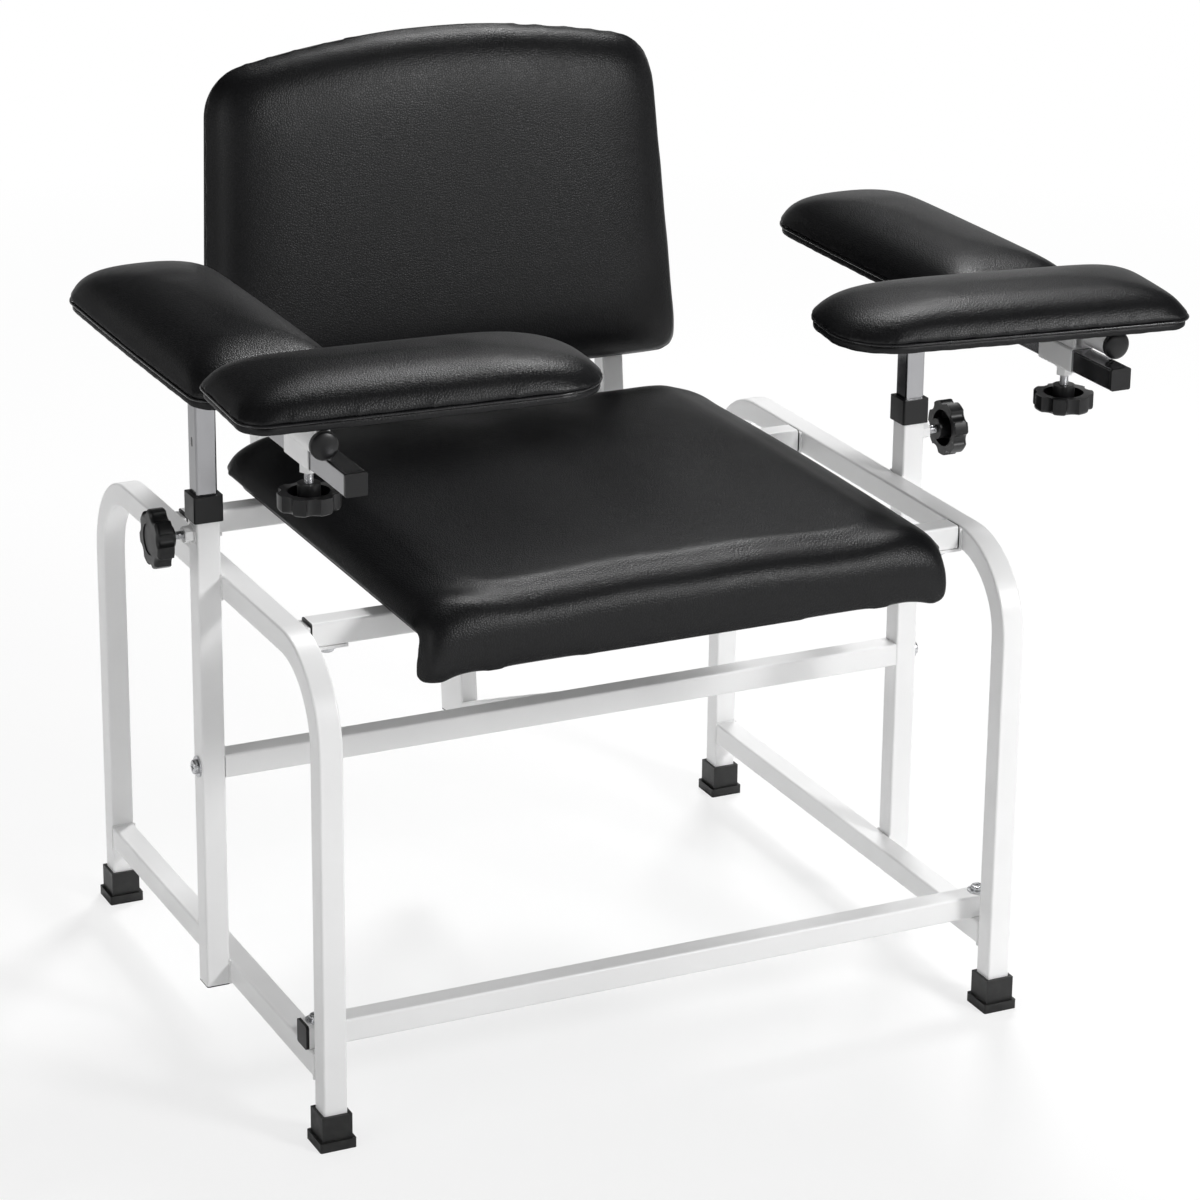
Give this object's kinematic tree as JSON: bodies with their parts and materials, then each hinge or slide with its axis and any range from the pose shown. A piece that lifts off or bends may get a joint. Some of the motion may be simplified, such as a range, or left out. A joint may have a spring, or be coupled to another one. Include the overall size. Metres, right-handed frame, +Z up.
{
  "type": "phlebotomy chair",
  "caption": "Blood-drawing chair: bent white tube frame, padded seat and back, and padded arm rests that slide up, slide forward and tilt up.",
  "frame": {"origin": "on the floor, under the middle of the four legs", "axes": "+Z up, -Y to the front, +X to the right as seen from the front, and right in names means +X"},
  "size_m": [0.9925, 0.8, 0.9642],
  "materials": {
    "white_tube": "white powder coat, satin",
    "chrome": "polished chrome plate",
    "zinc": "bright zinc plate",
    "black_plastic": "moulded, satin",
    "black_rubber": "matt",
    "black_upholstery": "synthetic leather, fine grain, over foam",
    "board": "plywood with a black backing cloth"
  },
  "bodies": {
    "frame": {"back_board": "board", "back_bolts": "zinc", "back_cross_tube": "white_tube", "back_cushion": "black_upholstery", "back_stay": "white_tube", "crossbar_bolts": "zinc", "front_crossbar": "white_tube", "front_left_foot": "black_rubber", "front_right_foot": "black_rubber", "front_seat_bar": "white_tube", "left_arm_post": "white_tube", "left_back_tube": "white_tube", "left_low_rail": "white_tube", "left_post_collar": "black_plastic", "left_side_frame": "white_tube", "low_tube_plugs": "black_plastic", "mid_crossbar": "white_tube", "rear_left_foot": "black_rubber", "rear_right_foot": "black_rubber", "rear_seat_bar": "white_tube", "right_arm_post": "white_tube", "right_back_tube": "white_tube", "right_low_rail": "white_tube", "right_post_collar": "black_plastic", "right_side_frame": "white_tube", "seat_bar_plugs": "black_plastic", "seat_board": "board", "seat_bolts": "zinc", "seat_brackets": "white_tube", "seat_cushion": "black_upholstery", "stay_brace": "white_tube"},
    "left_arm": {"left_arm_tube": "chrome", "left_arm_bar": "chrome", "left_bar_caps": "black_plastic", "left_rear_pad_board": "board", "left_rear_pad": "black_upholstery"},
    "left_slide": {"left_slide_sleeve": "white_tube"},
    "left_flap": {"left_pad_bracket": "white_tube", "left_hinge_pin": "black_plastic", "left_front_pad_board": "board", "left_front_pad": "black_upholstery"},
    "left_height_screw": {"left_height_knob": "black_plastic", "left_height_stud": "zinc"},
    "left_clamp_screw": {"left_clamp_knob": "black_plastic", "left_clamp_stud": "zinc"},
    "right_arm": {"right_arm_tube": "chrome", "right_arm_bar": "chrome", "right_bar_caps": "black_plastic", "right_rear_pad_board": "board", "right_rear_pad": "black_upholstery"},
    "right_slide": {"right_slide_sleeve": "white_tube"},
    "right_flap": {"right_pad_bracket": "white_tube", "right_hinge_pin": "black_plastic", "right_front_pad_board": "board", "right_front_pad": "black_upholstery"},
    "right_height_screw": {"right_height_knob": "black_plastic", "right_height_stud": "zinc"},
    "right_clamp_screw": {"right_clamp_knob": "black_plastic", "right_clamp_stud": "zinc"}
  },
  "joints": [
    {"name": "left_arm_height", "type": "slide", "parent": "frame", "child": "left_arm", "axis": [0, 0, 1], "range_m": [-0.11, 0.09]},
    {"name": "left_pad_slide", "type": "slide", "parent": "left_arm", "child": "left_slide", "axis": [0, 1, 0], "range_m": [-0.08, 0.015]},
    {"name": "left_pad_tilt", "type": "hinge", "parent": "left_slide", "child": "left_flap", "pos_m": [-0.4125, -0.346, 0.755], "axis": [0, -1, 0], "range_deg": [0, 85]},
    {"name": "left_height_screw_turn", "type": "hinge", "parent": "frame", "child": "left_height_screw", "pos_m": [-0.44, -0.057, 0.556], "axis": [-1, 0, 0], "range_deg": [0, 360]},
    {"name": "left_clamp_screw_turn", "type": "hinge", "parent": "left_slide", "child": "left_clamp_screw", "pos_m": [-0.4, -0.346, 0.69], "axis": [0, 0, -1], "range_deg": [0, 360]},
    {"name": "right_arm_height", "type": "slide", "parent": "frame", "child": "right_arm", "axis": [0, 0, 1], "range_m": [-0.11, 0.09]},
    {"name": "right_pad_slide", "type": "slide", "parent": "right_arm", "child": "right_slide", "axis": [0, 1, 0], "range_m": [-0.065, 0.015]},
    {"name": "right_pad_tilt", "type": "hinge", "parent": "right_slide", "child": "right_flap", "pos_m": [0.4125, -0.361, 0.755], "axis": [0, 1, 0], "range_deg": [0, 85]},
    {"name": "right_height_screw_turn", "type": "hinge", "parent": "frame", "child": "right_height_screw", "pos_m": [0.44, -0.057, 0.556], "axis": [1, 0, 0], "range_deg": [0, 360]},
    {"name": "right_clamp_screw_turn", "type": "hinge", "parent": "right_slide", "child": "right_clamp_screw", "pos_m": [0.4, -0.361, 0.69], "axis": [0, 0, -1], "range_deg": [0, 360]}
  ]
}
